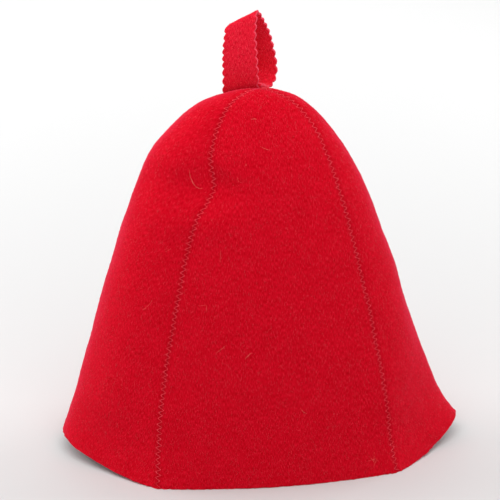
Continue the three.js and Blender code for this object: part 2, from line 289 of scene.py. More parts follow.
def felt_relief(points: Array, layers: tuple, seed: int) -> Array:
    """The felt's own unevenness in metres, summed from layers, whose seeds count on from seed."""
    return sum(smooth_waves(points, wavelength * MM, waves, seed + layer) * height * MM
               for layer, (wavelength, height, waves) in enumerate(layers))


def mesh_object(name: str, points: Array, faces: list, material: Material,
                uv: Array | None = None, paint: dict | None = None) -> Object:
    """Makes a smooth mesh piece that rides on the hat's body.

    Args:
        name: the piece's name.
        points: the vertices, in metres.
        faces: the vertex numbers of each face.
        material: the piece's material.
        uv: a place on the cloth for each vertex, in metres.
        paint: named values from 0 to 1 for each vertex, which the material reads by name.

    Returns:
        The new object.
    """
    mesh = bpy.data.meshes.new(name)
    mesh.from_pydata(points.reshape(-1, 3).tolist(), [], faces)
    if uv is not None:
        corners = np.zeros(len(mesh.loops), np.int32)
        mesh.loops.foreach_get("vertex_index", corners)
        layer = mesh.uv_layers.new(name="cloth")
        layer.data.foreach_set("uv", uv.reshape(-1, 2)[corners].astype(np.float32).ravel())
    for layer_name, values in (paint or {}).items():
        layer = mesh.attributes.new(layer_name, "FLOAT", "POINT")
        layer.data.foreach_set("value", values.astype(np.float32).ravel())
    mesh.shade_smooth()
    mesh.materials.append(material)
    piece = bpy.data.objects.new(name, mesh)
    bpy.context.scene.collection.objects.link(piece)
    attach(piece, "root")
    LOG.info("%s: %d faces", name, len(faces))
    return piece


def sheet_faces(rows: int, columns: int) -> list:
    """The quads that close a sheet made of an outer and an inner grid of points.

    Args:
        rows: how many rows each grid has.
        columns: how many columns each grid has.

    Returns:
        The faces, with the outer grid's vertices numbered first.
    """
    outer, inner = np.arange(2 * rows * columns).reshape(2, rows, columns)

    def quads(a: Array, b: Array, c: Array, d: Array) -> Array:
        """Stacks four arrays of corners into faces."""
        return np.stack([a.ravel(), b.ravel(), c.ravel(), d.ravel()], axis=1)

    return np.concatenate([
        quads(outer[:-1, :-1], outer[:-1, 1:], outer[1:, 1:], outer[1:, :-1]),
        quads(inner[:-1, :-1], inner[1:, :-1], inner[1:, 1:], inner[:-1, 1:]),
        quads(outer[:-1, 0], outer[1:, 0], inner[1:, 0], inner[:-1, 0]),
        quads(outer[:-1, -1], inner[:-1, -1], inner[1:, -1], outer[1:, -1]),
        quads(outer[0, :-1], inner[0, :-1], inner[0, 1:], outer[0, 1:]),
        quads(outer[-1, :-1], outer[-1, 1:], inner[-1, 1:], inner[-1, :-1]),
    ]).tolist()


def sheet_paint(from_edge: Array, worn_reach: float, painted_shade: Array) -> dict:
    """How worn a sheet is by its cut edge, and where painted shade darkens it, alike on both of its
    faces.
    """
    worn = np.clip(1 - from_edge / worn_reach, 0, 1) * 0.5
    return {"worn": np.stack([worn, worn]), "painted_shade": np.stack([painted_shade, painted_shade])}


def tubes(paths: Array, radii: Array, sides: int) -> tuple[Array, list]:
    """Closed tubes along many paths at once, none of them below the floor.

    Args:
        paths: the paths, as an array of paths, points and coordinates.
        radii: the radius at each point of a path, for all paths at once or for each of them.
        sides: how many sides a tube has.

    Returns:
        The vertices and the faces.
    """
    count, length, _ = paths.shape
    paths = paths.copy()
    paths[..., 2] = np.maximum(paths[..., 2], np.max(radii))
    way = unit(np.gradient(paths, axis=1))
    upright = np.abs(way[..., 2:3]) > 0.9
    helper = np.where(upright, [[[1.0, 0.0, 0.0]]], [[[0.0, 0.0, 1.0]]])
    first = unit(np.cross(way, helper))
    second = np.cross(way, first)
    turn = np.arange(sides) * (2 * math.pi / sides)
    ring = first[:, :, None] * np.cos(turn)[:, None] + second[:, :, None] * np.sin(turn)[:, None]
    points = paths[:, :, None] + ring * np.broadcast_to(radii, (count, length))[..., None, None]
    number = np.arange(count * length * sides).reshape(count, length, sides)
    following = np.roll(number, -1, axis=2)
    walls = np.stack([number[:, :-1], following[:, :-1], following[:, 1:], number[:, 1:]], axis=-1)
    faces = walls.reshape(-1, 4).tolist() + number[:, 0, ::-1].tolist() + number[:, -1].tolist()
    return points.reshape(-1, 3), faces


@dataclass(frozen=True)
class WoolFelt:
    """Needled wool felt, piece-dyed red and flattened in a press: a matt, slightly fuzzy cloth.

    To the eye it has short fibres that run mostly up the gore, small cloudy patches of dye, and a
    soft pale bloom where the surface turns away, from the fibre ends that stand off it.
    """

    name: str
    colour: str = "#cb071d"
    deep_colour: str = "#b5020e"
    pale_colour: str = "#df172f"
    edge_colour: str = "#e8465c"
    # Painted shade: the darker red laid in flecks beside the seams and under the loop's foot, where
    # shade falls.
    painted_shade_colour: str = "#a80414"
    bloom_colour: str = "#ff5a82"
    bloom: float = 0.62
    roughness: float = 0.95
    # Wool fibres are 0.025 mm wide. The tufts that they form show at about 0.5 mm, and their run at
    # about 2.5 mm.
    tuft_width: float = 0.45 * MM
    tuft_length: float = 2.4 * MM
    dye_patch: float = 12 * MM

    def make(self) -> Material:
        """Makes the material.

        Returns:
            The felt's material.
        """
        material = empty_material(self.name)
        tree = material.node_tree
        place = add_node(tree, "ShaderNodeUVMap", {"uv_map": "cloth"})
        across, along = 1 / self.tuft_width, 1 / self.tuft_length
        stretched = add_node(tree, "ShaderNodeMapping", {"Scale": (across, along, 1)},
                             {"Vector": place.outputs["UV"]})
        tufts = add_node(tree, "ShaderNodeTexNoise",
                         {"Scale": 1.0, "Detail": 3.0, "Roughness": 0.65, "Distortion": 0.1},
                         {"Vector": stretched.outputs["Vector"]})
        patches = add_node(tree, "ShaderNodeTexNoise",
                           {"Scale": 1 / self.dye_patch, "Detail": 2.0, "Roughness": 0.5},
                           {"Vector": place.outputs["UV"]})
        # A Mix node's inputs: 0 is its factor, 2 and 3 are numbers, 6 and 7 are colours.
        blend = add_node(tree, "ShaderNodeMix", {"data_type": "FLOAT", 0: 0.08},
                         {2: tufts.outputs["Fac"], 3: patches.outputs["Fac"]})
        dye = add_node(tree, "ShaderNodeValToRGB", None, {"Fac": blend.outputs[0]})
        stops = dye.color_ramp.elements
        stops[0].position, stops[0].color = 0.37, linear(self.deep_colour)
        stops[1].position, stops[1].color = 0.64, linear(self.pale_colour)
        middle = stops.new(0.50)
        middle.color = linear(self.colour)
        worn = add_node(tree, "ShaderNodeAttribute", {"attribute_name": "worn"})
        edge = add_node(tree, "ShaderNodeMix",
                        {"data_type": "RGBA", 7: linear(self.edge_colour)},
                        {0: worn.outputs["Fac"], 6: dye.outputs["Color"]})
        # Painted shade: a vertex layer, broken into flecks by the tufts, mixes the felt towards the
        # painted shade colour beside the seams and under the loop's foot.
        painted_shade = add_node(tree, "ShaderNodeAttribute", {"attribute_name": "painted_shade"})
        painted_shade_flecks = add_node(tree, "ShaderNodeMath", {"operation": "MULTIPLY"},
                          {0: painted_shade.outputs["Fac"], 1: tufts.outputs["Fac"]})
        with_painted_shade = add_node(tree, "ShaderNodeMix",
                        {"data_type": "RGBA", 7: linear(self.painted_shade_colour)},
                        {0: painted_shade_flecks.outputs["Value"], 6: edge.outputs[2]})
        bump = add_node(tree, "ShaderNodeBump", {"Strength": 0.3, "Distance": 0.35 * MM},
                        {"Height": tufts.outputs["Fac"]})
        shader = add_node(tree, "ShaderNodeBsdfPrincipled",
                          {"Roughness": self.roughness, "IOR": 1.45, "Specular IOR Level": 0.02,
                           "Sheen Weight": self.bloom, "Sheen Roughness": 0.35,
                           "Sheen Tint": linear(self.bloom_colour)},
                          {"Base Color": with_painted_shade.outputs[2], "Normal": bump.outputs["Normal"]})
        add_node(tree, "ShaderNodeOutputMaterial", None, {"Surface": shader.outputs["BSDF"]})
        return material


@dataclass(frozen=True)
class Strand:
    """A thread or a fibre whose shade is a little uneven from place to place."""

    name: str
    colour: str
    patch: float = 2 * MM
    detail: float = 0.0
    # The shares of its red, green and blue that the dark stretches keep.
    dark: tuple[float, float, float] = (0.8, 0.7, 0.7)
    dark_stop: float = 0.3
    roughness: float = 0.7
    ior: float = 1.55
    specular: float = 0.3
    glow: float = 0.0

    def make(self) -> Material:
        """Makes the material.

        Returns:
            The strand's material, with its light and dark stretches.
        """
        material = empty_material(self.name)
        tree = material.node_tree
        place = add_node(tree, "ShaderNodeTexCoord")
        uneven = add_node(tree, "ShaderNodeTexNoise",
                          {"Scale": 1 / self.patch, "Detail": self.detail},
                          {"Vector": place.outputs["Object"]})
        shade = add_node(tree, "ShaderNodeValToRGB", None, {"Fac": uneven.outputs["Fac"]})
        full = linear(self.colour)
        dark, light = shade.color_ramp.elements
        dark.position, light.position = self.dark_stop, 1 - self.dark_stop
        dark.color = [part * kept for part, kept in zip(full, self.dark + (1.0,))]
        light.color = full
        shader = add_node(tree, "ShaderNodeBsdfPrincipled",
                          {"Roughness": self.roughness, "IOR": self.ior,
                           "Specular IOR Level": self.specular, "Sheen Weight": self.glow},
                          {"Base Color": shade.outputs["Color"]})
        add_node(tree, "ShaderNodeOutputMaterial", None, {"Surface": shader.outputs["BSDF"]})
        return material


@dataclass(frozen=True)
class SpunThread(Strand):
    """Spun polyester sewing thread, dyed a slightly paler red than the felt.

    To the eye its shade changes from stitch to stitch, as the felt's nap covers more or less of it.
    """

    colour: str = "#ff5a6c"
    patch: float = 1.6 * MM
    detail: float = 1.0
    dark: tuple[float, float, float] = (0.8, 0.4, 0.4)
    dark_stop: float = 0.35
    roughness: float = 0.6
    ior: float = 1.5
    specular: float = 0.15


@dataclass(frozen=True)
class LooseFibre(Strand):
    """Single wool fibres drawn out of the felt, which catch the light and read paler than it."""

    glow: float = 0.2


@dataclass(frozen=True)
class BellShape:
    """The hat's bell: its named sizes, and points and directions on its outer face."""

    half_width: float = 135 * MM
    half_depth: float = 76 * MM
    body_height: float = 247 * MM
    felt_thickness: float = 2.5 * MM
    left_hem_raise: float = 11 * MM
    right_hem_raise: float = 13 * MM
    raise_reach: float = 110 * MM
    raise_falloff: float = 1.5
    left_arch_sharpness: float = 0.9
    right_arch_sharpness: float = 1.8
    dent_fade: float = 20 * MM
    left_fold_roundness: float = 0.6
    right_fold_roundness: float = 0.22
    seam_pull: float = 0.45 * MM
    seam_pull_reach: float = 2.6 * MM
    seam_edge_radius: float = 0.22 * MM
    hem_edge_radius: float = 0.9 * MM
    # Beside a seam the wall turns to the mitre. The limit keeps a sharp corner's mitre short.
    mitre_reach: float = 5 * MM
    mitre_limit: float = 0.4
    ring_points: int = 41
    line_points: int = 1200

    def read(self, column: str, share: Array) -> Array:
        """Reads a column of the table of levels.

        Args:
            column: the column's name.
            share: places from the hem, 0, to the apex, 1.

        Returns:
            The column's values there.
        """
        rows = LEVELS[:, LEVEL_COLUMNS.index(column)]
        sign = -1 if column in MIRRORED_PAST_THE_APEX else 1
        return curve_through(rows, share, sign * rows[-2])

    def outline(self, gore: Gore, share: Array) -> tuple[Array, Array, Array]:
        """A gore's two corners and the point that its middle reaches, seen from above.

        Args:
            gore: the gore.
            share: levels from the hem to the apex.

        Returns:
            The first corner, the second corner and the middle point.
        """
        span = self.read("span", share) * self.half_width
        depth = self.read("depth", share) * self.half_depth
        middle = self.read("lean", share) * self.half_width
        left = middle - self.read("seam_left", share) * span
        right = middle + self.read("seam_right", share) * span
        left_y = self.read("corner_left", share) * depth
        right_y = self.read("corner_right", share) * depth
        front_left, front_right = np.stack([left, -left_y], -1), np.stack([right, -right_y], -1)
        back_left, back_right = np.stack([left, left_y], -1), np.stack([right, right_y], -1)
        zero = np.zeros_like(span)
        return {
            Gore.FRONT: (front_left, front_right, np.stack([(left + right) / 2, -depth], -1)),
            Gore.RIGHT: (front_right, back_right, np.stack([middle + span, zero], -1)),
            Gore.BACK: (back_right, back_left, np.stack([(left + right) / 2, depth], -1)),
            Gore.LEFT: (back_left, front_left, np.stack([middle - span, zero], -1)),
        }[gore]

    def point(self, gore: Gore, across: Array, share: Array) -> Array:
        """Points of the bell's plain outer face.

        Args:
            gore: the gore.
            across: places from its first seam, 0, to its second, 1.
            share: levels from the hem to the apex.

        Returns:
            The points.
        """
        across, share = grids(across, share)
        start, end, reach = self.outline(gore, share)
        chord, centre = (end - start) / 2, (start + end) / 2
        stand = reach - centre
        place = 2 * across - 1
        length = np.linalg.norm
        half = 2 * np.arctan(length(stand, axis=-1) / np.maximum(length(chord, axis=-1), 1e-9))
        half = np.maximum(half, 1e-4)
        along_round = np.sin(place * half) / np.sin(half)
        out_round = (np.cos(place * half) - np.cos(half)) / (1 - np.cos(half))
        fold, roundness, lift, sharpness = np.zeros_like(share), 1.0, 0.0, 1.0
        if gore is Gore.LEFT:
            fold, roundness = self.read("fold_left", share), self.left_fold_roundness
            lift, sharpness = self.left_hem_raise, self.left_arch_sharpness
        if gore is Gore.RIGHT:
            fold, roundness = self.read("fold_right", share), self.right_fold_roundness
            lift, sharpness = self.right_hem_raise, self.right_arch_sharpness
        bow = math.hypot(1, roundness) - roundness
        out_folded = 1 - (np.hypot(place, roundness) - roundness) / bow
        along = along_round * (1 - fold) + place * fold
        out = out_round * (1 - fold) + out_folded * fold
        flat = centre + chord * along[..., None] + stand * out[..., None]
        height = self.read("rise", share) * self.body_height
        fade = np.maximum(0, 1 - height / self.raise_reach) ** self.raise_falloff
        arch = np.maximum(0, (1 + np.cos(math.pi * place)) / 2) ** sharpness
        z = height + lift * fade * arch
        dent, shove = self.dent(flat[..., 0], flat[..., 1], z)
        inward = dent / np.sqrt((flat ** 2).sum(-1) + MM ** 2)
        flat = flat * (1 - inward)[..., None]
        return np.stack([flat[..., 0] + shove, flat[..., 1], z], -1)

    def dent(self, x: Array, y: Array, z: Array) -> tuple[Array, Array]:
        """How far the dents push points of the front in, and shove them to the right.

        Args:
            x: places along the hat's width.
            y: places along its depth.
            z: heights.

        Returns:
            The depths and the shoves, in metres.
        """
        facing = np.clip(-y / self.dent_fade, 0, 1)
        facing = facing ** 2 * (3 - 2 * facing) * MM
        depth, shove = np.zeros_like(x), np.zeros_like(x)
        for aside, height, aside_reach, height_reach, deep, shift in DENTS:
            sideways = (x / self.half_width - aside) / aside_reach
            upward = (z / self.body_height - height) / height_reach
            share = facing * np.exp(-(sideways ** 2 + upward ** 2) / 2)
            depth, shove = depth + deep * share, shove + shift * share
        return depth, shove

    def normal(self, gore: Gore, across: Array, share: Array) -> Array:
        """The outward directions of the plain outer face.

        Args:
            gore: the gore.
            across: places from its first seam to its second.
            share: levels from the hem to the apex.

        Returns:
            The unit directions.
        """
        step = 0.004
        across, share = grids(across, share)
        left = self.point(gore, np.maximum(0, across - step), share)
        right = self.point(gore, np.minimum(1, across + step), share)
        low = self.point(gore, across, np.maximum(0, share - step))
        high = self.point(gore, across, np.minimum(DIRECTION_TOP, share + step))
        return unit(np.cross(right - left, high - low))

    def wall_way(self, gore: Gore, across: Array, share: Array,
                 width: Array) -> Array:
        """The way through the felt, which turns to the seam's mitre beside a seam.

        Args:
            gore: the gore.
            across: places from its first seam to its second.
            share: levels from the hem to the apex.
            width: the gore's own width at those levels.

        Returns:
            The ways, each as long as one thickness of 1.
        """
        own = self.normal(gore, across, share)
        way = own.copy()
        for seam, other, there in ((0.0, gore.past(-1), 1.0), (1.0, gore.past(1), 0.0)):
            own_edge = self.normal(gore, np.full_like(across, seam), share)
            next_edge = self.normal(other, np.full_like(across, there), share)
            mitre = unit(own_edge + next_edge)
            cosine = (mitre * own_edge).sum(-1, keepdims=True)
            mitre = mitre / np.maximum(self.mitre_limit, cosine)
            fade = np.clip(1 - np.abs(across - seam) * width / self.mitre_reach, 0, 1)[..., None]
            way = way + (mitre - own_edge) * fade
        return way

    def width(self, gore: Gore, share: Array) -> Array:
        """The gore's width along its bow at each level."""
        ring = self.point(gore, np.linspace(0, 1, self.ring_points), share[..., None])
        return np.linalg.norm(np.diff(ring, axis=-2), axis=-1).sum(-1)

    def shares_by_length(self, count: int, crowding: float, top: float = GORE_TOP) -> Array:
        """Levels at even steps up the front gore's middle, crowded towards the hem.

        Args:
            count: how many levels.
            crowding: 0 for even steps, and towards 1 for steps that start at nothing.
            top: the last level.

        Returns:
            The levels, from 0.
        """
        fine = np.linspace(0, top, self.line_points)
        length = distances_along(self.point(Gore.FRONT, 0.5, fine))
        even = np.linspace(0, 1, count)
        wanted = even - crowding * np.sin(math.pi * even) / math.pi
        return np.interp(wanted * length[-1], length, fine)

    def felt(self, gore: Gore, across: Array, share: Array) -> Array:
        """Points of the finished outer face, with the felt's relief and the seams' pull.

        Args:
            gore: the gore.
            across: places from its first seam to its second.
            share: levels from the hem to the apex.

        Returns:
            The points.
        """
        across, share = grids(across, share)
        plain = self.point(gore, across, share)
        width = self.width(gore, share)
        distance = np.minimum(across, 1 - across) * width
        pull = self.seam_pull * np.exp(-(distance / self.seam_pull_reach) ** 2)
        height = felt_relief(plain, BELL_RELIEF, RELIEF_SEED) - pull
        return plain + self.wall_way(gore, across, share, width) * height[..., None]


@dataclass
class FeltGore:
    """One felt panel of the bell, from the hem to the apex, with its rounded cut edges."""

    bell: BellShape
    gore: Gore
    node: str
    flat_size: tuple[float, float]
    flat_area: float
    columns: int = 110
    rows: int = 170
    hem_crowding: float = 0.9
    seam_crowding: float = 0.9
    half_gap: float = 0.01 * MM
    # The most that the gap takes of a row's width, near the apex.
    gap_limit: float = 0.05
    # How far the painted shade in the groove of each seam reaches.
    painted_shade_reach: float = 1.9 * MM
    worn_reach: float = 0.8 * MM
    hem_bump: float = 0.4 * MM
    hem_bump_spacing: float = 3.2 * MM
    hem_bump_reach: float = 2.5 * MM
    hem_bump_waves: int = 24
    # The felt's relief is weaker on the inner face.
    inner_relief: float = 0.5
    # Each gore, and the inner face of each, shows its own place of the cloth.
    cloth_step: float = 0.3
    inner_cloth_shift: tuple[float, float] = (0.05, 0.4)

    def across(self, width: Array) -> Array:
        """Places across each row from seam to seam, crowded towards both, by the rows' widths."""
        margin = np.minimum(self.half_gap / np.maximum(width, MM), self.gap_limit)[:, None]
        return margin + crowded_places(self.columns, self.seam_crowding) * (1 - 2 * margin)

    def build(self, felt: Material) -> Object:
        """Builds the panel in place of the CAD's.

        Args:
            felt: the felt's material.

        Returns:
            The panel.
        """
        bell = self.bell
        shares = bell.shares_by_length(self.rows, self.hem_crowding)
        width = bell.width(self.gore, shares)
        climb = distances_along(bell.point(self.gore, 0.5, shares))
        across = self.across(width)
        level, broad, from_hem = (
            np.broadcast_to(values[:, None], across.shape) for values in (shares, width, climb))
        outer = bell.felt(self.gore, across, level)
        way = bell.wall_way(self.gore, across, level, broad)
        bumps = smooth_waves(outer, self.hem_bump_spacing, self.hem_bump_waves, HEM_SEED)
        bumps = bumps * self.hem_bump * np.exp(-(from_hem / self.hem_bump_reach) ** 2)
        outer += way * bumps[..., None]
        plain = bell.point(self.gore, across, level)
        inner = plain - way * bell.felt_thickness
        relief = felt_relief(inner, BELL_RELIEF, RELIEF_SEED) * self.inner_relief
        inner += way * relief[..., None]
        from_seam = np.minimum(across, 1 - across) * broad
        hem_drop = rounded_edge(from_hem, bell.hem_edge_radius)
        outer -= way * (rounded_edge(from_seam, bell.seam_edge_radius) + hem_drop)[..., None]
        inner += way * hem_drop[..., None]
        for face in (outer, inner):
            face[0, :, 2] = plain[0, :, 2]
            face[..., 2] = np.maximum(face[..., 2], 0)
        uv = np.stack([(across - 0.5) * broad, from_hem], -1)
        uv += (self.gore.value * self.cloth_step, 0)
        # Painted shade in the seam's groove, darkest at the seam.
        painted_shade = np.exp(-(from_seam / self.painted_shade_reach) ** 2)
        piece = mesh_object("felt_" + self.node, np.stack([outer, inner]),
                            sheet_faces(*across.shape), felt,
                            np.stack([uv, uv + self.inner_cloth_shift]),
                            sheet_paint(from_hem, self.worn_reach, painted_shade))
        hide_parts(self.node)
        return piece


@dataclass
class SeamStitching:
    """The zigzag stitching that joins two gores, as one row of thread on each face of the felt."""

    bell: BellShape
    first: Gore
    name: str
    half_width: float = 1.8 * MM
    pitch: float = 3.9 * MM
    unevenness: float = 0.19 * MM
    thread_radius: float = 0.12 * MM
    thread_sides: int = 6
    # A stroke sinks by up to this much into the nap.
    sink: float = 0.2 * MM
    start: float = 1.5 * MM
    stop_before_apex: float = 2.5 * MM
    line_points: int = 1500
    shares: Array = field(init=False)
    lengths: Array = field(init=False)

    def __post_init__(self) -> None:
        """Measures the seam from the hem to the apex."""
        self.shares = np.linspace(0, GORE_TOP, self.line_points)
        self.lengths = distances_along(self.bell.point(self.first, 1.0, self.shares))

    def surface(self, length: Array, offset: Array, height: Array,
                face: Face) -> Array:
        """Points beside the seam.

        Args:
            length: distances up the seam from the hem.
            offset: distances to its right, seen from outside.
            height: distances off the felt.
            face: the face of the felt.

        Returns:
            The points.
        """
        share = np.interp(length, self.lengths, self.shares)
        points = np.zeros(share.shape + (3,))
        step = 0.01
        for gore, seam, side in ((self.first, 1.0, -1), (self.first.past(1), 0.0, 1)):
            beside = self.bell.point(gore, abs(seam - step), share)
            scale = np.linalg.norm(beside - self.bell.point(gore, seam, share), axis=-1)
            shift = np.clip(np.abs(offset) / np.maximum(scale, 1e-7) * step, 0, 0.5)
            across = np.abs(seam - shift)
            own = self.bell.felt(gore, across, share)
            normal = self.bell.normal(gore, across, share)
            if face is Face.INSIDE:
                own = self.bell.point(gore, across, share) - normal * self.bell.felt_thickness
            own = own + normal * (height * face.value)[..., None]
            here = (offset * side > 0) | ((offset == 0) & (side > 0))
            points = np.where(here[..., None], own, points)
        return points

    def build(self, thread: Material) -> Object:
        """Builds the stitches of both faces as one piece.

        Args:
            thread: the thread's material.

        Returns:
            The piece.
        """
        reach = self.lengths[-1] - self.stop_before_apex - self.start
        count = int(reach / (self.pitch / 2))
        place, height = STROKE.T
        number = np.arange(count)[:, None]
        rng = np.random.default_rng(STITCH_SEED + self.first.value)
        length = self.start + (number + place) * (self.pitch / 2)
        side = np.where(number % 2 == 0, 1.0, -1.0)
        jitter = rng.normal(0, self.unevenness, (count + 1, 2))
        offset = side * (1 - 2 * place) * self.half_width
        offset = offset + jitter[:-1, :1] * (1 - place) + jitter[1:, :1] * place
        length = length + jitter[:-1, 1:] * (1 - place) + jitter[1:, 1:] * place
        lift = height * MM - rng.uniform(0, self.sink, (count, 1))
        paths = np.concatenate([self.surface(length, offset, lift, face) for face in Face])
        points, faces = tubes(paths, np.full(len(place), self.thread_radius), self.thread_sides)
        return mesh_object(self.name, points, faces, thread)


@dataclass
class HangingLoop:
    """The pinked felt strip on the crown, folded over into a loop."""

    bell: BellShape
    crown: BVHTree
    width: float = 25 * MM
    thickness: float = 2 * MM
    height: float = 43 * MM
    reach: float = 24 * MM
    left_of_apex: float = 8.4 * MM
    behind_apex: float = 5.5 * MM
    heading: float = 22.0
    seat_gap: float = 0.3 * MM
    foot_sink: float = 0.8 * MM
    foot_share: float = 0.12
    foot_falloff: float = 1.5
    # How far the painted shadow under the front foot, where the loop meets the crown, reaches up
    # the strip.
    painted_shade_reach: float = 3.0 * MM
    worn_reach: float = 0.6 * MM
    # The fold's left corner is slack and slumps a little.
    fold_share: float = 0.37
    slump_share: float = 0.07
    slack_part: float = 0.28
    corner_slump: float = 1.3 * MM
    # The strip's back end lies on the crown: its second half, where it is below this share of the
    # loop's height.
    laid_share: float = 0.25
    scallop_pitch: float = 5 * MM
    scallop_depth: float = 1.35 * MM
    # The shears cut each edge by itself, so their scallops start at different shares of one.
    left_scallop_start: float = 0.0
    right_scallop_start: float = 0.55
    edge_radius: float = 0.7 * MM
    rows_per_scallop: int = 14
    columns: int = 44
    edge_crowding: float = 0.85
    line_points: int = 900
    cloth_place: tuple[float, float] = (1.5, 0.0)
    inner_cloth_shift: tuple[float, float] = (0.1, 0.2)

    def middle(self, along: Array, aside: Array) -> Array:
        """Points of the strip's middle sheet.

        Args:
            along: shares of the strip, from the front foot.
            aside: distances right of its middle line.

        Returns:
            The points.
        """
        behind, left, up, tilt, turn = (
            curve_through(rows, along, 2 * rows[-1] - rows[-2]) for rows in LOOP_ROWS.T)
        heading, tilt = np.radians(self.heading + turn), np.radians(tilt)
        back = math.radians(self.heading)
        foot = self.thickness / 2 + 2 * self.seat_gap
        behind = behind * (self.reach - foot) + along * foot
        left = left * self.width
        level = aside * np.cos(tilt)
        apex = self.bell.read("lean", np.array(1.0)) * self.bell.half_width
        x = apex - self.left_of_apex + behind * math.sin(back) + left * math.cos(back)
        y = self.behind_apex + behind * math.cos(back) - left * math.sin(back)
        z = self.bell.body_height + up * self.height + aside * np.sin(tilt)
        return np.stack([x + level * np.cos(heading), y - level * np.sin(heading), z], -1)

    def crown_height(self, points: Array) -> Array:
        """The height of the crown's outer face at each point's place.

        Args:
            points: the points.

        Returns:
            The heights.
        """
        heights = np.zeros(points.shape[:-1])
        for index in np.ndindex(heights.shape):
            x, y = points[index][:2]
            place = self.crown.ray_cast(Vector((x, y, 1.0)), Vector((0, 0, -1)))[0]
            heights[index] = place.z if place else self.bell.body_height
        return heights

    def build(self, felt: Material) -> Object:
        """Builds the loop in place of the CAD's.

        Args:
            felt: the felt's material.

        Returns:
            The loop.
        """
        fine = np.linspace(0, 1, self.line_points)
        length = distances_along(self.middle(fine, np.zeros_like(fine)))
        scallops = round(length[-1] / self.scallop_pitch)
        count = scallops * self.rows_per_scallop + 1
        walked = np.linspace(0, length[-1], count)
        along = np.interp(walked, length, fine)
        left, right = (
            np.abs(np.sin((start + np.linspace(0, scallops, count)) * math.pi))
            for start in (self.left_scallop_start, self.right_scallop_start))
        place = 2 * crowded_places(self.columns, self.edge_crowding) - 1
        lobe = np.where(place < 0, left[:, None], right[:, None])
        half_width = self.width / 2 - self.scallop_depth * (1 - lobe)
        aside = half_width * place
        share = np.broadcast_to(along[:, None], aside.shape)
        sheet = self.middle(share, aside)
        slump = np.exp(-((share - self.fold_share) / self.slump_share) ** 2)
        slack = np.clip(1 - (1 + place) / self.slack_part, 0, 1) ** 2
        sheet[..., 2] -= self.corner_slump * slump * slack
        laid_below = self.bell.body_height + self.height * self.laid_share
        laid = (share > 0.5) & (sheet[..., 2] < laid_below)
        clear = self.crown_height(sheet) + self.seat_gap + self.thickness / 2
        sheet[..., 2] = np.where(laid, np.maximum(sheet[..., 2], clear), sheet[..., 2])
        climb = np.gradient(sheet, axis=0)
        across = (sheet[:, -1] - sheet[:, 0])[:, None]
        way = unit(np.cross(across, climb))
        from_edge = half_width - np.abs(aside)
        thick = self.thickness / 2 - rounded_edge(from_edge, self.edge_radius)
        nap = felt_relief(sheet, LOOP_RELIEF, LOOP_SEED)
        outer = sheet + way * (thick + nap)[..., None]
        inner = sheet - way * (thick - nap)[..., None]
        foot = np.clip(1 - along / self.foot_share, 0, 1)[:, None] ** self.foot_falloff
        for face in (outer, inner):
            drop = face[0, :, 2] - self.crown_height(face[0]) + self.foot_sink
            face[..., 2] -= drop * foot
        uv = np.stack([aside, np.broadcast_to(walked[:, None], aside.shape)], -1) + self.cloth_place
        # Painted shadow along the front foot, darkest where the strip meets the crown.
        painted_shade = np.exp(-(walked / self.painted_shade_reach) ** 2)
        painted_shade = np.broadcast_to(painted_shade[:, None], aside.shape)
        piece = mesh_object("loop_of_pinked_felt", np.stack([outer, inner]),
                            sheet_faces(*aside.shape), felt,
                            np.stack([uv, uv + self.inner_cloth_shift]),
                            sheet_paint(from_edge, self.worn_reach, painted_shade))
        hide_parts("hanging_loop")
        return piece


@dataclass(frozen=True)
class FibreEnds:
    """The sizes of the short fibre ends on a face of felt, and how many there are."""

    count: int
    length: float
    radius: float
    lift: float
    root_depth: float = 0.05 * MM
    # The shares of the radius that a fibre has at its root, its middle and its tip.
    taper: tuple[float, float, float] = (1.0, 0.8, 0.3)

    def lay(self, name: str, rng: np.random.Generator, root: Array, normal: Array,
            way: Array, fibre: Material) -> Object:
        """Lays one fibre at each root.

        Args:
            name: the piece's name.
            rng: where the random draws come from.
            root: where each fibre leaves the felt.
            normal: the felt's direction there.
            way: the way that each fibre lies.
            fibre: the fibre's material.

        Returns:
            The fibres as one piece.
        """
        bend = np.cross(normal, way) * rng.normal(0, 0.3, (self.count, 1))
        length = self.length * rng.uniform(0.4, 1.3, (self.count, 1))
        lift = normal * self.lift * rng.uniform(0.1, 1.0, (self.count, 1))
        tip_lift = lift * rng.uniform(0.2, 1.8, (self.count, 1))
        paths = np.stack([
            root - normal * self.root_depth,
            root + way * length / 2 + lift,
            root + (way + bend) * length + tip_lift,
        ], axis=1)
        points, faces = tubes(paths, np.array(self.taper) * self.radius, 3)
        return mesh_object(name, points, faces, fibre)


@dataclass
class SurfaceFuzz:
    """Short fibre ends that lie over a gore or stand a little off it."""

    bell: BellShape
    gore: Gore
    ends: FibreEnds = FibreEnds(count=9000, length=2.6 * MM, radius=0.036 * MM, lift=0.22 * MM)
    levels: int = 400
    top: float = 0.99
    # How far the fibres turn aside from straight up the gore, in radians.
    spread: float = 0.45

    def build(self, fibre: Material) -> Object:
        """Builds the fibres as one piece.

        Args:
            fibre: the fibre's material.

        Returns:
            The piece.
        """
        bell, gore, count = self.bell, self.gore, self.ends.count
        rng = np.random.default_rng(FUZZ_SEED + gore.value)
        shares = bell.shares_by_length(self.levels, 0.0, self.top)
        width = bell.width(gore, shares)
        share = rng.choice(shares, count, p=width / width.sum()) + rng.uniform(0, 0.002, count)
        across = rng.uniform(0.005, 0.995, count)
        root = bell.felt(gore, across, share)
        normal = bell.normal(gore, across, share)
        up = unit(bell.felt(gore, across, np.minimum(share + 0.004, GORE_TOP)) - root)
        turn = rng.normal(0, self.spread, count)[:, None]
        way = up * np.cos(turn) + np.cross(up, normal) * np.sin(turn)
        way = way * np.where(rng.random((count, 1)) < 0.5, 1, -1)
        return self.ends.lay("fuzz_" + GORES[gore][0], rng, root, normal, way, fibre)


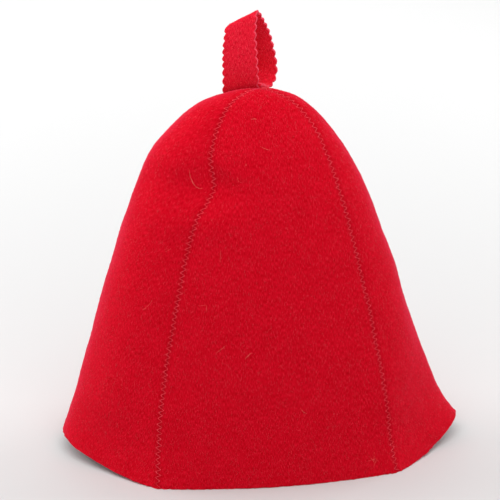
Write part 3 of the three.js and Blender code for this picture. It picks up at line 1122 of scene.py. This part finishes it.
@dataclass
class LoopFuzz:
    """Short fibre ends on the loop's faces and along its pinked edges."""

    loop: Object
    ends: FibreEnds = FibreEnds(count=3000, length=1.7 * MM, radius=0.034 * MM, lift=0.25 * MM)

    def build(self, fibre: Material) -> Object:
        """Builds the fibres as one piece.

        Args:
            fibre: the fibre's material.

        Returns:
            The piece.
        """
        rng = np.random.default_rng(LOOP_FUZZ_SEED)
        polygons = self.loop.data.polygons
        area, centre, facing = (np.zeros(len(polygons) * size) for size in (1, 3, 3))
        polygons.foreach_get("area", area)
        polygons.foreach_get("center", centre)
        polygons.foreach_get("normal", facing)
        chosen = rng.choice(len(area), self.ends.count, p=area / area.sum())
        root, normal = centre.reshape(-1, 3)[chosen], facing.reshape(-1, 3)[chosen]
        way = unit(np.cross(normal, rng.normal(size=(self.ends.count, 3))))
        return self.ends.lay("fuzz_hanging_loop", rng, root, normal, way, fibre)


@dataclass
class StrayHairs:
    """The few long hairs that lie loose on the front of the hat, paler than its felt."""

    bell: BellShape
    name: str = "stray_wool_hairs"
    points_per_hair: int = 16
    sides: int = 5
    radius: float = 0.075 * MM
    end_radius_share: float = 0.45
    lift: float = 0.35 * MM
    end_lift_share: float = 0.4

    def build(self, hair: Material) -> Object:
        """Builds the hairs as one piece.

        Args:
            hair: the hairs' material.

        Returns:
            The piece.
        """
        bell = self.bell
        step = np.linspace(0, 1, self.points_per_hair)
        hump = np.sin(math.pi * step)
        height = self.lift * (self.end_lift_share + hump)
        stout = self.radius * (self.end_radius_share + (1 - self.end_radius_share) * hump)
        rise = 0.002
        paths, radii = [], []
        for gore, aside, level, length, heading, curl, stoutness in STRAY_HAIRS:
            way = np.radians(heading + curl * step ** 2)
            gap = length * MM / (self.points_per_hair - 1)
            steps = gap * np.stack([np.sin(way), np.cos(way)])[:, :-1]
            right, up = np.pad(np.cumsum(steps, axis=1), ((0, 0), (1, 0)))
            low, high = bell.point(gore, aside, np.array([level, level + rise]))
            share = level + up * rise / np.linalg.norm(high - low)
            across = aside + right / bell.width(gore, share)
            normal = bell.normal(gore, across, share)
            paths.append(bell.felt(gore, across, share) + normal * height[:, None])
            radii.append(stout * stoutness)
        points, faces = tubes(np.array(paths), np.array(radii), self.sides)
        return mesh_object(self.name, points, faces, hair)


@dataclass(frozen=True)
class Softbox:
    """A square soft light that faces the hat's middle, or another point that it is given."""

    name: str
    place: tuple[float, float, float]
    size: float
    power: float
    aim: tuple[float, float, float] = (0.0, 0.0, 0.12)

    def hang(self) -> None:
        """Hangs the light in its place."""
        data = bpy.data.lights.new(self.name, "AREA")
        data.shape, data.size, data.energy = "SQUARE", self.size, self.power
        lamp = bpy.data.objects.new(self.name, data)
        lamp.location = self.place
        way = Vector(self.aim) - Vector(self.place)
        lamp.rotation_euler = way.to_track_quat("-Z", "Y").to_euler()
        bpy.context.scene.collection.objects.link(lamp)


@dataclass
class Studio:
    """The plain pale floor, the soft lights and the camera."""

    azimuth: float = -5.3
    elevation: float = 20.0
    distance: float = 1.3
    lens: float = 141.8
    sensor_width: float = 36.0
    aim: tuple[float, float, float] = (-0.0073, 0.0007, 0.1361)
    floor_colour: str = "#d2d2d2"
    floor_roughness: float = 0.9
    floor_half: float = 6.0
    surround: float = 0.26
    softboxes: tuple[Softbox, ...] = (
        Softbox("overhead_softbox", (-0.05, -0.42, 0.76), 0.75, 5.0),
        Softbox("left_softbox", (-1.14, 0.50, 0.55), 1.0, 11.8),
        Softbox("right_softbox", (1.16, 0.45, 0.6), 1.0, 10.8),
        Softbox("front_fill", (0.2, -2.4, 1.1), 1.2, 0.8),
        Softbox("backdrop_softbox", (0.0, 1.85, 1.0), 2.2, 29, (0.0, 1.8501, 0.0)),
    )

    def make_floor(self) -> None:
        """Lays the floor."""
        mesh = bpy.data.meshes.new("floor")
        half = self.floor_half
        mesh.from_pydata([(-half, -half, 0), (half, -half, 0), (half, half, 0), (-half, half, 0)],
                         [], [(0, 1, 2, 3)])
        material = bpy.data.materials.new("matt_paper_floor")
        material.use_nodes = True
        shader = material.node_tree.nodes["Principled BSDF"]
        shader.inputs["Base Color"].default_value = linear(self.floor_colour)
        shader.inputs["Roughness"].default_value = self.floor_roughness
        mesh.materials.append(material)
        floor = bpy.data.objects.new("floor", mesh)
        bpy.context.scene.collection.objects.link(floor)

    def light(self) -> None:
        """Lights the set from above and from both sides, with a pale surround."""
        for softbox in self.softboxes:
            softbox.hang()
        world = bpy.data.worlds.new("pale_surround")
        bpy.context.scene.world = world
        world.use_nodes = True
        backdrop = world.node_tree.nodes["Background"]
        backdrop.inputs["Color"].default_value = (1, 1, 1, 1)
        backdrop.inputs["Strength"].default_value = self.surround

    def place_camera(self) -> None:
        """Sets the camera at the photograph's angle."""
        a, e = math.radians(self.azimuth), math.radians(self.elevation)
        back = Vector((math.sin(a) * math.cos(e), -math.cos(a) * math.cos(e), math.sin(e)))
        data = bpy.data.cameras.new("camera")
        data.lens, data.sensor_width = self.lens, self.sensor_width
        camera = bpy.data.objects.new("camera", data)
        camera.location = Vector(self.aim) + back * self.distance
        camera.rotation_euler = (-back).to_track_quat("-Z", "Y").to_euler()
        bpy.context.scene.collection.objects.link(camera)
        bpy.context.scene.camera = camera
        bpy.context.scene.view_settings.view_transform = "Standard"


def surface_tree(pieces: list[Object]) -> BVHTree:
    """Gathers the faces of some pieces, so that heights can be read off them.

    Args:
        pieces: the pieces.

    Returns:
        The tree of their faces.
    """
    verts, faces = [], []
    for piece in pieces:
        start = len(verts)
        verts += [v.co.copy() for v in piece.data.vertices]
        faces += [tuple(start + v for v in p.vertices) for p in piece.data.polygons]
    return BVHTree.FromPolygons(verts, faces)


def build_hat() -> list[Object]:
    """Builds the hat's pieces in sewing order.

    Returns:
        The pieces.
    """
    bell = BellShape()
    felt = WoolFelt("pressed_wool_felt").make()
    # The loop is the gores' felt with its colours painted lighter, a painted highlight for the
    # stronger light that falls on it; its darkest colour is the painted shadow under its front
    # foot.
    painted_lighter_loop_felt = WoolFelt("pinked_wool_felt_painted_lighter", colour="#de182e", deep_colour="#c60c1e",
                         pale_colour="#ee2c44", edge_colour="#f0647a", painted_shade_colour="#6e000c",
                         bloom_colour="#ff7a98", bloom=1.0).make()
    thread = SpunThread("spun_polyester_thread").make()
    fuzz = LooseFibre("loose_wool_fibre", "#e8243c").make()
    pieces = [FeltGore(bell, gore, node, flat_size, area).build(felt)
              for gore, (node, flat_size, area, _) in GORES.items()]
    crown = surface_tree(pieces)
    for gore, (_, _, _, seam) in GORES.items():
        pieces.append(SeamStitching(bell, gore, "zigzag_stitches_" + seam).build(thread))
    pieces.append(HangingLoop(bell, crown).build(painted_lighter_loop_felt))
    pieces.append(LoopFuzz(pieces[-1]).build(LooseFibre("loose_loop_fibre", "#f4404f").make()))
    for gore in Gore:
        pieces.append(SurfaceFuzz(bell, gore).build(fuzz))
    pieces.append(StrayHairs(bell).build(LooseFibre("undyed_wool_hair", "#ff8c80").make()))
    return pieces


def main() -> None:
    """Builds the hat, its studio and its camera."""
    logging.basicConfig(level=logging.INFO, format="%(message)s")
    pieces = build_hat()
    studio = Studio()
    studio.make_floor()
    studio.light()
    studio.place_camera()
    LOG.info("%d pieces", len(pieces))


if __name__ == "__main__":
    main()
